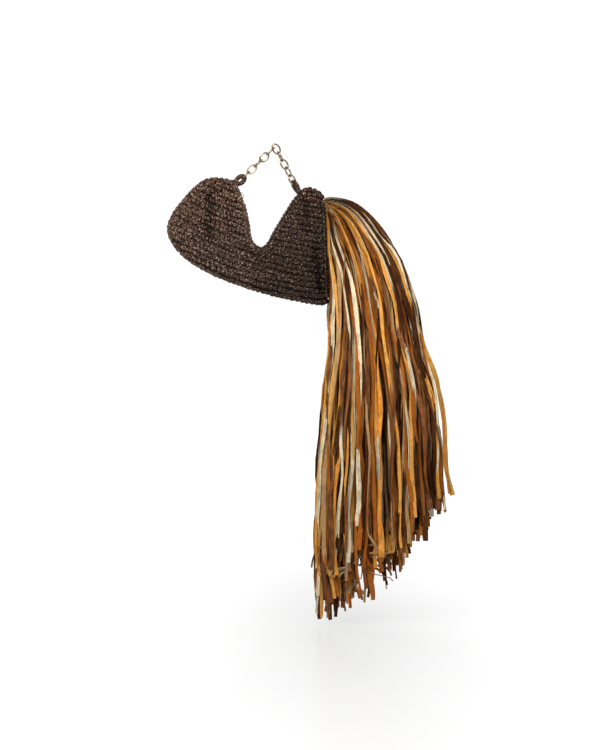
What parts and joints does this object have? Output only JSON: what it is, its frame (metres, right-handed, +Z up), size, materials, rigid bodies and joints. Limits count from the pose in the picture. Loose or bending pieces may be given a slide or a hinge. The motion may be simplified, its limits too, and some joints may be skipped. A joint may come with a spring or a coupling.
{
  "type": "crochet clutch",
  "caption": "Puffed crochet clutch with a deep V mouth, hung by a short oval-link chain between two crochet loops, with a long raffia fringe that sweeps down from one side.",
  "frame": {"origin": "highest point inside the chain's top link, where a hook, peg or finger carries the bag", "axes": "+Z up, -Y towards the viewer of the picture, +X towards the fringe"},
  "size_m": [0.4682, 0.0938, 0.7879],
  "materials": {
    "crochet_yarn": "matt dark brown melange crochet with pale flecks",
    "raffia_ribbon": "satin raffia ribbon, mixed amber, rust, straw and dark brown",
    "chain_metal": "polished pale gold"
  },
  "bodies": {
    "root": {"pouch": "crochet_yarn", "loop_left": "crochet_yarn", "loop_right": "crochet_yarn", "fringe": "raffia_ribbon", "link_01": "chain_metal", "link_02": "chain_metal", "link_03": "chain_metal", "link_04": "chain_metal", "link_05": "chain_metal", "link_06": "chain_metal", "link_07": "chain_metal", "link_08": "chain_metal", "link_09": "chain_metal", "link_10": "chain_metal"}
  },
  "joints": []
}
